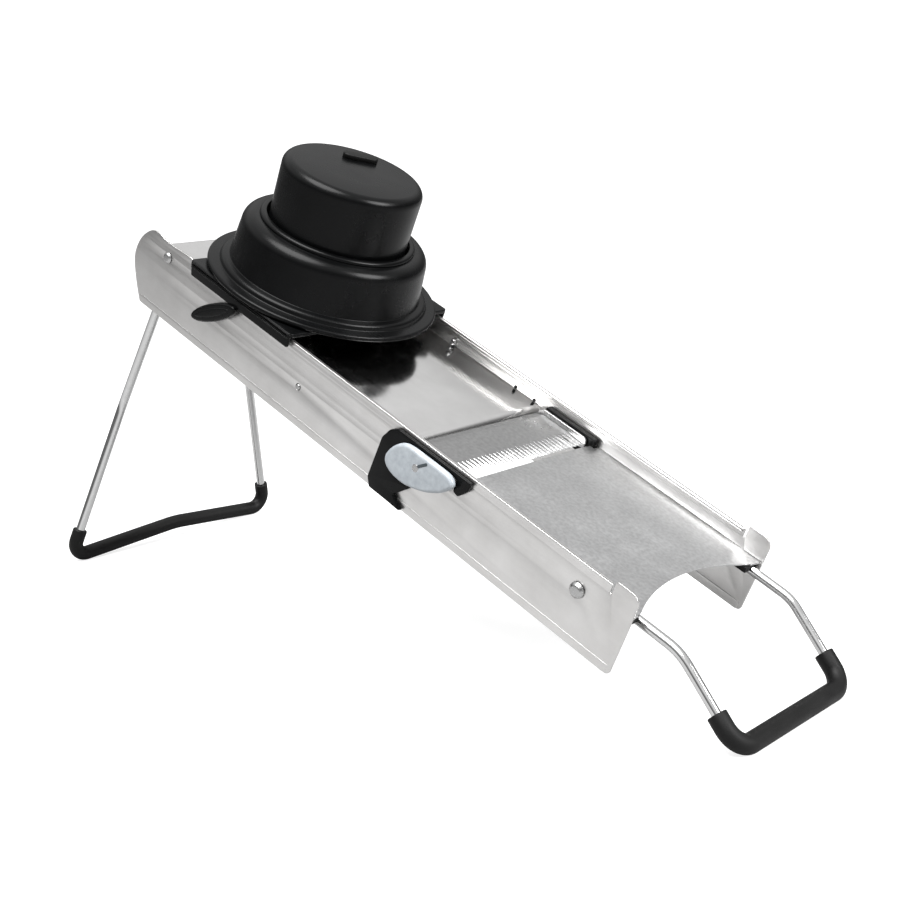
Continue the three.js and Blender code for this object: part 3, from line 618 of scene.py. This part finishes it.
def add_ties_and_pins():
    """Tie bar and the leg's stop rod between the panels, hinge rivets and stops of the feed plate."""
    radius, neck = 3, 1.7
    end, shoulder = PANEL_OUTSIDE + 0.45, PANEL_INSIDE - 0.3
    tie = turned_profile([
        (0, -end, 0), (neck, -end, 0.6), (neck, -shoulder, 0), (radius, -shoulder, 0.4),
        (radius, shoulder, 0.4), (neck, shoulder, 0), (neck, end, 0.6), (0, end, 0),
    ])
    add("tie_bar", turned(tie, TIE_BAR, across=True, sides=40), PIN_STEEL, ["cross_tie"])
    low, high = flat_box("leg_stop_rod")
    rod = turned_profile([(0, low.y, 0), (radius, low.y, 0.5), (radius, high.y, 0.5), (0, high.y, 0)])
    middle = (low + high) / 2
    add("rod_leg_stop", turned(rod, middle.xz, across=True, sides=40), PIN_STEEL, ["leg_stop_rod"])
    dome, tip = OUTER_START - 1.3, -60.2
    rivet = turned_profile([(0, dome, 0), (2.4, dome, 1.5), (3.5, OUTER_START, 0), (2, OUTER_START, 0),
                            (2, tip, 0.5), (0, tip, 0)])
    add_pair("rivet_feed", turned(rivet, FEED_HINGE.xz, across=True, sides=40), PIN_STEEL, "feed_hinge_pin")
    low, high = flat_box("feed_plate_stop_near")
    tip = -60.8
    stop = turned_profile([(0, BLOCK_BACK, 0), (2.1, BLOCK_BACK, 0), (2.1, tip, 1.2), (0, tip, 0)])
    middle = (low + high) / 2
    add_pair("stud_feed_stop", turned(stop, middle.xz, across=True, sides=32), PIN_STEEL, "feed_plate_stop")


def add_blocks():
    """Moulded blocks inside the panels that carry the shaft, the blade and the leg's wire."""
    leg = plate(stadium((LEG_PIVOT.x, -13), 3, 6, math.pi / 2), BLOCK_BACK, -60.3, 0.5,
                holes=[circle(LEG_PIVOT.xz, 3.5)])
    add_pair("block_leg", leg, BLACK_PLASTIC, "leg_hinge_block")
    bush = plate(stadium(SHAFT.xz, 5, 4.6), BLOCK_BACK, -60, 0.5, holes=[circle(SHAFT.xz, 3.2)])
    add_pair("bush_shaft", bush, BLACK_PLASTIC, "shaft_bush")
    low, high = flat_box("blade_bearing_near")
    bearing_top = high.z - 1.4
    outline = rounded([(low.x, low.z, 2.5), (high.x, low.z, 2.5), (high.x, bearing_top, 2),
                       (low.x, bearing_top, 2)])
    bearing = plate(outline, low.y, high.y, 0.7, holes=[circle(BLADE_AXIS.xz, 3.5)])
    add_pair("bearing_blade", bearing, BLACK_PLASTIC, "blade_bearing")


def add_stop_pads():
    """Rubber pads under the deck's front corners, which the handle's wire rests against."""
    low, high = flat_box("handle_stop_pad_near")
    turn = Matrix(((0, 1, 0, 0), (1, 0, 0, 0), (0, 0, 1, 0), (0, 0, 0, 1)))
    gap, roof = 3.05, -1.75
    beside = rounded([(low.y, high.z, 0.4), (low.y, low.z, 0.8), (NEAR_WIRE - gap, low.z, 0.8),
                      (NEAR_WIRE - gap, high.z, 0.4)])
    left, right = -FAR_WIRE - gap, -FAR_WIRE + gap
    astride = rounded([
        (low.y, high.z, 0.2), (low.y, low.z, 0.8), (left, low.z, 0.4), (left, roof, 1), (right, roof, 1),
        (right, low.z, 0.4), (high.y, low.z, 0.8), (high.y, high.z, 0.2),
    ])
    pads = []
    for outline, edge in ((beside, 0.3), (astride, 0.15)):
        mesh = plate(outline, low.x, high.x, edge)
        mesh.transform(turn)
        mesh.flip_normals()
        pads.append(mesh)
    add("pad_handle_stop_near", pads[0], BLACK_RUBBER, ["handle_stop_pad_near"])
    add("pad_handle_stop_far", mirrored(pads[1]), BLACK_RUBBER, ["handle_stop_pad_far"])


# ---------------------------------------------------------------- thickness control and blade


def add_thickness_control():
    """Lever knob, shaft and the retaining clip."""
    low, high = flat_box("thickness_shaft")
    centre, radius = SHAFT.xz, 2.7
    rod = turned_profile([(0, low.y, 0), (radius, low.y, 0.4), (radius, high.y, 0.6), (0, high.y, 0)])
    add("shaft_thickness", turned(rod, centre, across=True, sides=40), PIN_STEEL, ["thickness_shaft"])
    lever = math.radians(33.8)  # how steeply the knob's long way stands to the deck
    middle = (SHAFT.x + 3.4, SHAFT.z + 3.7)
    base = plate(oval(middle, 20.6, 5.5, lever), -70.4, OUTER_START, 1.6, edge_steps=6)
    ridge = plate(oval(middle, 15.5, 2.6, lever), -71.0, -69.5, 0.9, edge_steps=5)
    add("knob_thickness", combined(base, ridge), BLACK_PLASTIC, ["thickness_knob"])
    low, high = flat_box("shaft_clip")
    inner, outer = 3, 4.9
    ring = turned_profile([(inner, low.y, 0.1), (outer, low.y, 0.4), (outer, high.y, 0.4),
                           (inner, high.y, 0.1)], closed=True)
    add("clip_shaft", turned(ring, centre, across=True, sides=40), PIN_STEEL, ["shaft_clip"])


def add_cams():
    """The cams on the shaft: the plate rests on them, and sinks as they turn to their low side."""
    full, drop, steps = 6.2, 1.22, 90
    lift = math.radians(70)
    outline = []
    for k in range(steps):
        turn = 2 * math.pi * k / steps
        if turn <= lift:
            reach = full - drop * turn / lift
        else:
            back = math.pi * (turn - lift) / (2 * math.pi - lift)
            reach = full - drop + drop * (1 - math.cos(back)) / 2
        outline.append(Vector((SHAFT.x - reach * math.sin(turn), SHAFT.z + reach * math.cos(turn))))
    cam = plate(outline, -50, -44, 0.4, holes=[circle(SHAFT.xz, 3)])
    add_pair("cam", cam, NYLON, "thickness_cam")


def blade_mesh():
    """Blade: a bevelled straight rear edge, and V-ground flutes that make the front edge serrated."""
    low, high = flat_box("blade")
    teeth = 34
    flute_start, ridge_start, sheet = high.x - 14.5, high.x - 8.5, 1.0
    notch, valley_top, ridge_top = 2.2, -0.8, -0.04
    bm = bmesh.new()
    columns = []
    for i in range(2 * teeth + 1):
        y = low.y + (high.y - low.y) * i / (2 * teeth)
        valley = i % 2 == 0
        front = high.x - notch if valley else high.x
        top = valley_top if valley else ridge_top
        begin = flute_start if valley else ridge_start
        section = [
            (low.x, -0.65), (low.x + 4, 0), (begin, 0), (front, top), (front, top - 0.1),
            (high.x - 4, -sheet), (low.x + 0.3, -sheet),
        ]
        columns.append([bm.verts.new((x, y, z)) for x, z in section])
    for left, right in zip(columns, columns[1:]):
        for k in range(len(left)):
            m = (k + 1) % len(left)
            bm.faces.new((left[k], right[k], right[m], left[m]))
    bm.faces.new(columns[0])
    bm.faces.new(columns[-1])
    mesh = made(bm)
    mesh.polygons.foreach_set("use_smooth", [False] * len(mesh.polygons))
    return mesh, flute_start


def add_blade():
    """The double-edged blade, with bright flutes, and its cheeks and spindles."""
    mesh, flute_start = blade_mesh()
    piece = add("blade_sheet", mesh, BLADE_STEEL, ["blade"])
    piece.data.materials.append(GROUND_STEEL)
    for polygon in piece.data.polygons:
        middle = TO_FLAT @ polygon.center
        ground = TO_FLAT.to_3x3().normalized() @ polygon.normal
        if middle.x > flute_start and ground.z > 0.2 and abs(ground.y) > 0.05:
            polygon.material_index = 1
    add_cheek("near", flat_box("blade_cheek_near")[0].y)
    add_cheek("far", -flat_box("blade_cheek_far")[1].y)


def add_cheek(side, reach):
    """One of the bars at the blade's ends, with the spindle that reaches out to y from it."""
    radius, root = 3, -58
    cheek = plate(stadium(BLADE_AXIS.xz, 15.5, 3.6), -59.2, -57.3, 0.4)
    profile = turned_profile([(0, reach, 0), (radius, reach, 0.5), (radius, root, 0), (0, root, 0)])
    spindle = turned(profile, BLADE_AXIS.xz, across=True, sides=40)
    mesh = combined(cheek, spindle)
    add(f"cheek_blade_{side}", mesh if side == "near" else mirrored(mesh), PIN_STEEL, [f"blade_cheek_{side}"])


def add_blade_knob():
    """The housing on the near panel, and the knob with its screw and pointer."""
    centre = BLADE_AXIS.xz
    housing = rounded([
        (229, 9.6, 5), (223.5, 6, 5), (219.6, -1, 6), (218.2, -28, 5), (221.5, -33.4, 2), (247.4, -33.4, 0.4),
        (239, -27.2, 0.8), (248.6, -17, 1.5), (240.2, -10, 3), (240.2, 6, 3), (275.4, 6, 1), (276, -1.4, 1.2),
        (279.8, -2.2, 1.5), (284.6, 3.4, 3), (285.8, 9.6, 0.8),
    ])
    housing_mesh = plate(housing, -67.7, OUTER_START, 0.8, edge_steps=4)
    add("housing_blade", housing_mesh, BLACK_PLASTIC, ["blade_housing"])
    knob = through([
        (245, 8.5), (254, 8.6), (266, 8.6), (273.4, 8.2), (277.6, 5.2), (277, 1.6), (272.6, -3.4),
        (267.2, -7.2), (260, -10.8), (249.6, -13.9), (243, -14.4), (236.8, -13.7), (231.4, -11.2),
        (229.2, -7.4), (229.8, -3.2), (233.2, 2.6), (238.6, 7.1),
    ], closed=True)
    grip = plate(knob, -73.1, -68.3, 2.2, edge_steps=8)
    hub_radius, hub_top, hub_foot = 5.4, -69, OUTER_START - 0.1
    hub = turned_profile([(0, hub_top, 0), (hub_radius, hub_top, 0), (hub_radius, hub_foot, 0.4),
                          (0, hub_foot, 0)])
    knob_mesh = combined(grip, turned(hub, centre, across=True))
    add("knob_blade", knob_mesh, PALE_PLASTIC, ["blade_knob"])
    face, radius = -73.25, 2.4
    screw = turned_profile([(0, face, 0), (radius, face, 0.5), (radius, -72.4, 0), (0, -72.4, 0)])
    add("screw_blade_knob", turned(screw, centre, across=True, sides=32), PIN_STEEL, ["blade_knob_screw"])
    pointer = stadium((BLADE_AXIS.x + 4, BLADE_AXIS.z + 4.2), 3, 0.9, math.radians(42))
    add("pointer_blade_knob", plate(pointer, face, -72.6, 0.2), POINTER_PLASTIC, beside="blade_knob")


# ---------------------------------------------------------------- leg and handle


def both_sides(half):
    """A path drawn from the near side, completed by its mirror image."""
    other = [(x, -y, z, radius) for x, y, z, radius in reversed(half)]
    return half + other[1 if half[-1][1] == 0 else 0:]


def wire_path(corners):
    """The middle line of a bent wire through (x, y, z, bend radius) corners."""
    return rounded(corners, closed=False, arc_step=math.radians(6))


def part_way(corner, towards, distance):
    """The point at a distance from one corner towards another, as a path corner."""
    start = Vector(corner[:3])
    return (*(start + (Vector(towards[:3]) - start).normalized() * distance), 0)


def add_leg():
    """The rear leg: bent wire with a rubber sleeve over its foot."""
    wire_radius, sleeve_radius, bore, sleeve_rise = 3, 4.75, 3.15, 21
    end = (LEG_PIVOT.x, -62.9, LEG_PIVOT.z, 0)
    hip = (LEG_PIVOT.x, -56, LEG_PIVOT.z, 4)
    knee = (-4, -55, -115, 30)
    foot = (15, -87, -221.6, 9)
    arch = (15, 0, -213.8, 60)
    path = wire_path(both_sides([end, hip, knee, foot, arch]))
    add("wire_leg", swept(path, wire_radius, lip=0.6), WIRE_STEEL, ["leg_wire"])
    sole = wire_path(both_sides([part_way(foot, knee, sleeve_rise), foot, arch]))
    add("sleeve_leg", swept(sole, sleeve_radius, hole=bore, lip=0.7), BLACK_RUBBER, ["leg_sleeve"])


def add_handle():
    """The front handle: bent wire, rubber grip, and a domed cap on each end of the wire."""
    wire_radius, grip_radius, bore, grip_reach, wire_end = 2.7, 5.4, 2.85, 20, 65.9
    pivot_x, pivot_z = HANDLE_PIVOT.xz
    near_bend, far_bend = (424.5, NEAR_WIRE, -4.3, 34), (425.5, FAR_WIRE, -5.3, 26)
    near_corner, far_corner = (473.6, -54.35, -28, 12), (473.6, 54.35, -28, 12)
    path = wire_path([
        (pivot_x, -wire_end, pivot_z, 0), (pivot_x, NEAR_WIRE, pivot_z, 4), near_bend, near_corner,
        far_corner, far_bend, (pivot_x, FAR_WIRE, pivot_z, 4), (pivot_x, wire_end, pivot_z, 0),
    ])
    add("wire_handle", swept(path, wire_radius, lip=0.5), WIRE_STEEL, ["handle_wire"])
    near_end = part_way(near_corner, near_bend, grip_reach)
    far_end = part_way(far_corner, far_bend, grip_reach)
    grip = wire_path([near_end, near_corner, far_corner, far_end])
    add("grip_handle", swept(grip, grip_radius, hole=bore, lip=0.8), BLACK_RUBBER, ["handle_grip"])
    rim, inner, seat = 4.5, 3.1, -66.3
    cap = turned_profile([(0, -67.4, 0), (3, -67.2, 1.5), (rim, -65.6, 0.8), (rim, OUTER_START, 0),
                          (inner, OUTER_START, 0), (inner, seat, 0), (0, seat, 0)])
    add_pair("cap_handle", turned(cap, HANDLE_PIVOT.xz, across=True, sides=48), PIN_STEEL, "handle_cap")


# ---------------------------------------------------------------- food guard and pusher

GUARD_CENTRE = (GUARD_X, 0)
PUSHER_RADIUS = 43
ROUND_SIDES = 128  # how many sides the big round mouldings are turned with


def add_guard_base():
    """The guard's base, with bowed ends and a round well, skirts outside the rails and runners inside."""
    low, high = flat_box("guard_base")
    half, side, top, sheet = 47.5, high.y, high.z, 2.8
    bow, bow_steps = 60, 24
    meet = math.acos(half / bow)
    turns = [meet * (2 * k / bow_steps - 1) for k in range(bow_steps + 1)]
    front = [Vector((GUARD_X + bow * math.cos(a), bow * math.sin(a))) for a in turns]
    rear = [Vector((2 * GUARD_X - p.x, -p.y)) for p in front]
    right = rounded([(GUARD_X + half, 30, 0), (GUARD_X + half, side, 3), (GUARD_X - half, side, 3),
                     (GUARD_X - half, 30, 0)], closed=False)[1:-1]
    left = [Vector((2 * GUARD_X - p.x, -p.y)) for p in right]
    well = circle(GUARD_CENTRE, 47.3, 72)
    plan = plate(front + right + rear + left, top - sheet, top, 0.6, across=False, holes=[well])
    skirt_outline = rounded([(GUARD_X - 43.8, low.z, 1), (GUARD_X + 46.6, low.z, 1),
                             (GUARD_X + 46.8, top - 0.6, 1), (GUARD_X - 46.4, top - 0.6, 1)])
    skirt = plate(skirt_outline, -side, -side + 2, 0.5)
    ledges = []
    for level in (12.2, 14.8):
        ledge = bar(GUARD_X - 45, level, GUARD_X + 46, level + 1, 0.4)
        ledges.append(plate(ledge, -side - 0.6, -side + 1, 0.45))
    reach, foot, root = 43.5, 7.2, top - 1
    runner_outline = rounded([(GUARD_X - reach, foot, 1), (GUARD_X + reach, foot, 1),
                              (GUARD_X + reach, root, 0.5), (GUARD_X - reach, root, 0.5)])
    runner = plate(runner_outline, -62, -60, 0.5)
    sides = [skirt, *ledges, runner]
    base = combined(plan, *[mirrored(m) for m in sides], *sides)
    add("base_guard", base, BLACK_PLASTIC, ["guard_base"])
    glide = plate(bar(GUARD_X - 39.5, 11.7, GUARD_X + 39.5, 13, 0.4), -64.5, -62.5, 0.3)
    add_pair("glide_guard", glide, NYLON, "guard_glide")


def add_guard_housing():
    """The guard's brimmed housing, hollow around the pusher's chamber, and the collar on top of it."""
    low, high = flat_box("guard_housing")
    bottom, top = low.z, high.z
    brim, chamber, wall, skin = 72.8, 44.9, 2, 2.4
    profile = turned_profile([
        (58, bottom, 0), (brim, bottom, 1.2), (brim, 19.9, 1.6), (65.8, 20.2, 0.8), (64.9, 23.4, 2.6),
        (60.4, 24, 0.6), (57.6, top, 8), (chamber, top, 0.5), (chamber, bottom, 0.4),
        (chamber + wall, bottom, 0.4), (chamber + wall, top - skin, 1), (53.2, top - skin, 3), (57.2, 23, 2),
    ], closed=True)
    add("housing_guard", turned(profile, GUARD_CENTRE, sides=ROUND_SIDES), BLACK_PLASTIC, ["guard_housing"])
    low, high = flat_box("guard_collar")
    inner, foot, crest = 44.8, 48.8, 48.3
    ring = turned_profile([(inner, low.z, 0.2), (foot, low.z, 0.2), (crest, high.z, 2), (inner, high.z, 0.6)],
                          closed=True)
    add("collar_guard", turned(ring, GUARD_CENTRE, sides=ROUND_SIDES), BLACK_PLASTIC, ["guard_collar"])


def add_pusher():
    """The pusher: hollow cap with a raised tab, and the seal around it."""
    low, high = flat_box("pusher_cap")
    radius, top, bottom, skin = PUSHER_RADIUS, high.z, low.z, 2.6
    seal_top = flat_box("pusher_seal")[1].z + 1
    cap = turned_profile([
        (0, bottom + 10, 0), (1.6, bottom + 10, 0), (1.6, bottom, 0), (6, bottom, 0.4), (6, top - 3, 1.5),
        (radius - skin, top - 3, 3), (radius - skin, bottom, 0.3), (radius, bottom, 0.6),
        (radius, seal_top, 10), (radius + 0.8, top + 0.4, 6), (22, top + 1.2, 30), (0, top + 1.4, 0),
    ])
    add("cap_pusher", turned(cap, GUARD_CENTRE, sides=ROUND_SIDES), BLACK_PLASTIC, ["pusher_cap"])
    tab_foot, tab_top = top + 0.7, flat_box("pusher_tab")[1].z + 2.7
    tab = plate(stadium((GUARD_X - 13, 16), 7.4, 3.7, math.atan2(19, 11.5)), tab_foot, tab_top, 1.0,
                across=False)
    add("tab_pusher", tab, BLACK_RUBBER, ["pusher_tab"])
    low, high = flat_box("pusher_seal")
    inner, outer = 43.3, 44.4
    seal = turned_profile([(inner, low.z, 0.4), (outer, low.z, 0.4), (outer, high.z, 0.4),
                           (inner, high.z, 0.4)], closed=True)
    add("seal_pusher", turned(seal, GUARD_CENTRE, sides=96), BLACK_RUBBER, ["pusher_seal"])


def add_pins():
    """The pusher's plate with its eight food pins, and the screw that holds it to the cap."""
    low, high = flat_box("pin_plate")
    disc = turned_profile([(0, low.z, 0), (PUSHER_RADIUS, low.z, 0.6), (PUSHER_RADIUS, high.z, 0.6),
                           (0, high.z, 0)])
    add("plate_pins", turned(disc, GUARD_CENTRE, sides=96), BLACK_PLASTIC, ["pin_plate"])
    radius, point = 1.2, 4
    for i in range(8):
        node = f"food_pin_{i + 1}"
        low, high = flat_box(node)
        middle = (low + high) / 2
        pin = turned_profile([(0, low.z, 0), (radius, low.z + point, 0.5), (radius, high.z, 0.3),
                              (0, high.z, 0)])
        add(f"pin_{i + 1}", turned(pin, middle.xy, sides=24), PIN_STEEL, [node])
    low, high = flat_box("pusher_screw")
    head, shank, head_top = 3.2, 1.3, low.z + 1.8
    screw = turned_profile([(0, low.z, 0), (head, low.z, 1), (head, head_top, 0), (shank, head_top, 0),
                            (shank, high.z, 0.3), (0, high.z, 0)])
    add("screw_pusher", turned(screw, GUARD_CENTRE, sides=32), PIN_STEEL, ["pusher_screw"])


# ---------------------------------------------------------------- studio


def add_floor():
    """A plain pale floor that runs out of view, with a painted pool of light: its colour is brighter near the
    slicer and darker far away.
    """
    reach = 80.0
    mesh = bpy.data.meshes.new("floor")
    corners = [(-reach, -reach, 0), (reach, -reach, 0), (reach, reach, 0), (-reach, reach, 0)]
    mesh.from_pydata(corners, [], [(0, 1, 2, 3)])
    floor = bpy.data.objects.new("floor", mesh)
    bpy.context.scene.collection.objects.link(floor)
    finish = Finish("floor_paper", roughness=0.9, specular_ior_level=0.1, emission_color=(1, 1, 1, 1))
    # painted pool of light: the floor's colour fades from bright near the slicer to darker beyond 1.6 m
    finish.colours(finish.distance(0.35, 1.6), [(0.0, grey(0.35)), (1.0, grey(0.18))])
    seen = finish.nodes.new("ShaderNodeLightPath").outputs["Is Camera Ray"]
    finish.links.new(finish.spread(seen, 0, 0.8, 0, 1), finish.shader.inputs["Emission Strength"])
    mesh.materials.append(finish.material)


def add_lamp(name, bearing, height, spread, power):
    """A large soft source far away, at a bearing from +X, a height and a spread in degrees."""
    data = bpy.data.lights.new(name, "SUN")
    data.angle = math.radians(spread)
    data.energy = power
    lamp = bpy.data.objects.new(name, data)
    around, up = math.radians(bearing), math.radians(height)
    towards = Vector((math.cos(around) * math.cos(up), math.sin(around) * math.cos(up), math.sin(up)))
    lamp.rotation_euler = towards.to_track_quat("Z", "Y").to_euler()
    bpy.context.scene.collection.objects.link(lamp)


def add_dome():
    """A dome that is bright overhead, dim at the horizon, brighter on the near side, and seen white."""
    world = bpy.data.worlds.new("dome")
    world.use_nodes = True
    nodes, links = world.node_tree.nodes, world.node_tree.links
    place, split = nodes.new("ShaderNodeTexCoord"), nodes.new("ShaderNodeSeparateXYZ")
    height, seen = nodes.new("ShaderNodeValToRGB"), nodes.new("ShaderNodeBackground")
    levels = [(0.0, 0.14), (0.2, 0.14), (0.36, 0.3), (0.58, 0.85), (0.75, 0.85), (1.0, 1.3)]
    fill_ramp(height, [(position, grey(value)) for position, value in levels])
    aside = map_range(nodes, -0.85, -0.1, 1.5, 1.0)
    lit, ray, mix = nodes["Background"], nodes.new("ShaderNodeLightPath"), nodes.new("ShaderNodeMixShader")
    seen.inputs["Color"].default_value = (1, 1, 1, 1)
    seen.inputs["Strength"].default_value = 1.2
    links.new(place.outputs["Generated"], split.inputs["Vector"])
    links.new(split.outputs["Z"], height.inputs["Fac"])
    links.new(split.outputs["Y"], aside.inputs["Value"])
    links.new(aside.outputs["Result"], lit.inputs["Strength"])
    links.new(height.outputs["Color"], lit.inputs["Color"])
    links.new(ray.outputs["Is Camera Ray"], mix.inputs["Fac"])
    links.new(lit.outputs["Background"], mix.inputs[1])
    links.new(seen.outputs["Background"], mix.inputs[2])
    links.new(mix.outputs["Shader"], nodes["World Output"].inputs["Surface"])
    bpy.context.scene.world = world


def add_camera():
    """The camera, in front of the slicer's near side and above it; places are drawn flat."""
    data = bpy.data.cameras.new("camera")
    data.sensor_width = 36
    data.lens = 59.15
    camera = bpy.data.objects.new("camera", data)
    place = TO_ROW @ Vector((662.6, -650.6, 390.3))
    aim = TO_ROW @ Vector((217.5, 10.5, -27.8))
    roll = Matrix.Rotation(math.radians(0.32), 4, "Z")
    look = (aim - place).to_track_quat("-Z", "Y").to_matrix().to_4x4()
    camera.matrix_world = Matrix.Translation(place) @ look @ roll
    bpy.context.scene.collection.objects.link(camera)
    bpy.context.scene.camera = camera


add_camera()
add_panels()
add_hole_shade_discs()
add_runout_deck()
add_feed_plate()
add_ties_and_pins()
add_blocks()
add_stop_pads()
add_thickness_control()
add_cams()
add_blade()
add_blade_knob()
add_leg()
add_handle()
add_guard_base()
add_guard_housing()
add_pusher()
add_pins()
add_floor()
add_lamp("key", bearing=-78, height=68, spread=44, power=5.2)
add_lamp("side", bearing=16, height=31, spread=28, power=3.4)
add_dome()
bpy.context.scene.view_settings.view_transform = "Standard"
